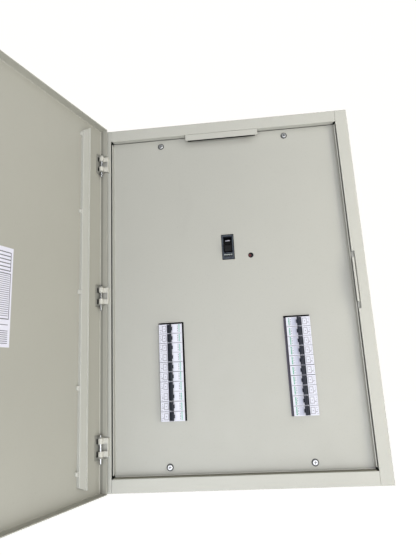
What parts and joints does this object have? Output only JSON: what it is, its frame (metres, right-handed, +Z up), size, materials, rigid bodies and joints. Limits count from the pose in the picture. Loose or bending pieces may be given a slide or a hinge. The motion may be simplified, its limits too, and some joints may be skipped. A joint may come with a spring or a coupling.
{
  "type": "residential load center",
  "caption": "Wall-mounted sheet-steel load center with a hinged pan door, dead front, main breaker, two columns of branch breakers, phase bars and terminal bars behind.",
  "frame": {"origin": "centre of the four wall-fixing holes, on the outside of the back", "axes": "+Z up, -Y out of the front (the door side), +Y into the wall, +X to the right seen from the front"},
  "size_m": [0.6903, 0.6185, 0.719],
  "materials": {
    "paint": "smooth satin beige-grey powder coat",
    "frame_paint": "smooth satin beige-grey powder coat",
    "door_paint": "smooth satin beige-grey powder coat",
    "stiffener_paint": "smooth satin beige-grey powder coat",
    "dark_steel": "dark passivated",
    "hinge_paint": "satin powder coat",
    "plated_steel": "zinc plated",
    "galvanised": "galvanised sheet",
    "latch_metal": "satin chrome",
    "card": "printed card",
    "breaker_white": "moulded, light sheen",
    "toggle_slate": "moulded",
    "main_black": "fine texture",
    "main_toggle_black": "moulded",
    "trip_red": "moulded",
    "copper": "bare copper bar",
    "brass": "bare brass",
    "insulator": "moulded insulator"
  },
  "bodies": {
    "enclosure": {"bar_feet": "insulator", "bar_screws": "plated_steel", "bottom_end": "frame_paint", "bus_screws": "plated_steel", "bus_supports": "insulator", "cover_posts": "plated_steel", "dead_front": "paint", "dead_front_screws": "plated_steel", "din_rails": "plated_steel", "earth_bar": "brass", "enclosure_wrap": "frame_paint", "frame_hinge_leaves": "hinge_paint", "hinge_pins": "plated_steel", "latch_keeper": "frame_paint", "left_double_pole_cases": "breaker_white", "left_single_pole_cases": "breaker_white", "line_lug_screws": "plated_steel", "line_lugs": "brass", "main_base": "main_black", "main_cover": "main_black", "mounting_pan": "galvanised", "neutral_bar": "brass", "pan_screws": "plated_steel", "pan_spacers": "plated_steel", "phase_bar_1": "copper", "phase_bar_2": "copper", "phase_bar_3": "copper", "right_single_pole_cases": "breaker_white", "top_catch_bar": "frame_paint", "top_end": "frame_paint"},
    "door": {"door_pan": "door_paint", "door_stiffener": "stiffener_paint", "circuit_card": "card", "door_hinge_leaves": "dark_steel", "latch_case": "latch_metal", "latch_nut": "plated_steel"},
    "latch": {"latch_knob": "latch_metal", "latch_cam": "plated_steel", "latch_cam_screw": "plated_steel"},
    "main_toggle": {"main_toggle": "main_toggle_black"},
    "trip_button": {"trip_button": "trip_red"},
    "toggle_left_1": {"toggle_left_1": "toggle_slate"},
    "toggle_left_2": {"toggle_left_2": "toggle_slate"},
    "toggle_left_3": {"toggle_left_3": "toggle_slate"},
    "toggle_left_4": {"toggle_left_4": "toggle_slate"},
    "toggle_left_5": {"toggle_left_5": "toggle_slate"},
    "toggle_left_6": {"toggle_left_6": "toggle_slate"},
    "toggle_left_7": {"toggle_left_7": "toggle_slate"},
    "toggle_left_8": {"toggle_left_8": "toggle_slate"},
    "toggle_right_1": {"toggle_right_1": "toggle_slate"},
    "toggle_right_2": {"toggle_right_2": "toggle_slate"},
    "toggle_right_3": {"toggle_right_3": "toggle_slate"},
    "toggle_right_4": {"toggle_right_4": "toggle_slate"},
    "toggle_right_5": {"toggle_right_5": "toggle_slate"},
    "toggle_right_6": {"toggle_right_6": "toggle_slate"},
    "toggle_right_7": {"toggle_right_7": "toggle_slate"},
    "toggle_right_8": {"toggle_right_8": "toggle_slate"},
    "toggle_right_9": {"toggle_right_9": "toggle_slate"},
    "toggle_right_10": {"toggle_right_10": "toggle_slate"}
  },
  "joints": [
    {"name": "door_hinge", "type": "hinge", "parent": "enclosure", "child": "door", "pos_m": [-0.2524, -0.1321, 0], "axis": [0, 0, 1], "range_deg": [-10.6, 109.35]},
    {"name": "latch_turn", "type": "hinge", "parent": "door", "child": "latch", "pos_m": [-0.41345, -0.56987, 0.002], "axis": [0.9435, -0.3313, 0], "range_deg": [0, 90]},
    {"name": "main_toggle_pivot", "type": "hinge", "parent": "enclosure", "child": "main_toggle", "pos_m": [-0.0006, -0.093, 0.0926], "axis": [1, 0, 0], "range_deg": [-48, 0]},
    {"name": "trip_button_press", "type": "slide", "parent": "enclosure", "child": "trip_button", "axis": [0, 1, 0], "range_m": [0, 0.0015], "stiffness_N_per_m": 200, "springref_m": -0.001},
    {"name": "toggle_left_1_pivot", "type": "hinge", "parent": "enclosure", "child": "toggle_left_1", "pos_m": [-0.1236, -0.1109, -0.0696], "axis": [0, 0, 1], "range_deg": [-50, 0]},
    {"name": "toggle_left_2_pivot", "type": "hinge", "parent": "enclosure", "child": "toggle_left_2", "pos_m": [-0.1236, -0.1109, -0.0876], "axis": [0, 0, 1], "range_deg": [-50, 0]},
    {"name": "toggle_left_3_pivot", "type": "hinge", "parent": "enclosure", "child": "toggle_left_3", "pos_m": [-0.1236, -0.1109, -0.1146], "axis": [0, 0, 1], "range_deg": [-50, 0]},
    {"name": "toggle_left_4_pivot", "type": "hinge", "parent": "enclosure", "child": "toggle_left_4", "pos_m": [-0.1236, -0.1109, -0.1416], "axis": [0, 0, 1], "range_deg": [-50, 0]},
    {"name": "toggle_left_5_pivot", "type": "hinge", "parent": "enclosure", "child": "toggle_left_5", "pos_m": [-0.1236, -0.1109, -0.1596], "axis": [0, 0, 1], "range_deg": [-50, 0]},
    {"name": "toggle_left_6_pivot", "type": "hinge", "parent": "enclosure", "child": "toggle_left_6", "pos_m": [-0.1236, -0.1109, -0.1866], "axis": [0, 0, 1], "range_deg": [-50, 0]},
    {"name": "toggle_left_7_pivot", "type": "hinge", "parent": "enclosure", "child": "toggle_left_7", "pos_m": [-0.1236, -0.1109, -0.2136], "axis": [0, 0, 1], "range_deg": [-50, 0]},
    {"name": "toggle_left_8_pivot", "type": "hinge", "parent": "enclosure", "child": "toggle_left_8", "pos_m": [-0.1236, -0.1109, -0.2316], "axis": [0, 0, 1], "range_deg": [-50, 0]},
    {"name": "toggle_right_1_pivot", "type": "hinge", "parent": "enclosure", "child": "toggle_right_1", "pos_m": [0.1251, -0.1109, -0.0696], "axis": [0, 0, 1], "range_deg": [0, 50]},
    {"name": "toggle_right_2_pivot", "type": "hinge", "parent": "enclosure", "child": "toggle_right_2", "pos_m": [0.1251, -0.1109, -0.0876], "axis": [0, 0, 1], "range_deg": [0, 50]},
    {"name": "toggle_right_3_pivot", "type": "hinge", "parent": "enclosure", "child": "toggle_right_3", "pos_m": [0.1251, -0.1109, -0.1056], "axis": [0, 0, 1], "range_deg": [0, 50]},
    {"name": "toggle_right_4_pivot", "type": "hinge", "parent": "enclosure", "child": "toggle_right_4", "pos_m": [0.1251, -0.1109, -0.1236], "axis": [0, 0, 1], "range_deg": [0, 50]},
    {"name": "toggle_right_5_pivot", "type": "hinge", "parent": "enclosure", "child": "toggle_right_5", "pos_m": [0.1251, -0.1109, -0.1416], "axis": [0, 0, 1], "range_deg": [0, 50]},
    {"name": "toggle_right_6_pivot", "type": "hinge", "parent": "enclosure", "child": "toggle_right_6", "pos_m": [0.1251, -0.1109, -0.1596], "axis": [0, 0, 1], "range_deg": [0, 50]},
    {"name": "toggle_right_7_pivot", "type": "hinge", "parent": "enclosure", "child": "toggle_right_7", "pos_m": [0.1251, -0.1109, -0.1776], "axis": [0, 0, 1], "range_deg": [0, 50]},
    {"name": "toggle_right_8_pivot", "type": "hinge", "parent": "enclosure", "child": "toggle_right_8", "pos_m": [0.1251, -0.1109, -0.1956], "axis": [0, 0, 1], "range_deg": [0, 50]},
    {"name": "toggle_right_9_pivot", "type": "hinge", "parent": "enclosure", "child": "toggle_right_9", "pos_m": [0.1251, -0.1109, -0.2136], "axis": [0, 0, 1], "range_deg": [0, 50]},
    {"name": "toggle_right_10_pivot", "type": "hinge", "parent": "enclosure", "child": "toggle_right_10", "pos_m": [0.1251, -0.1109, -0.2316], "axis": [0, 0, 1], "range_deg": [0, 50]}
  ]
}
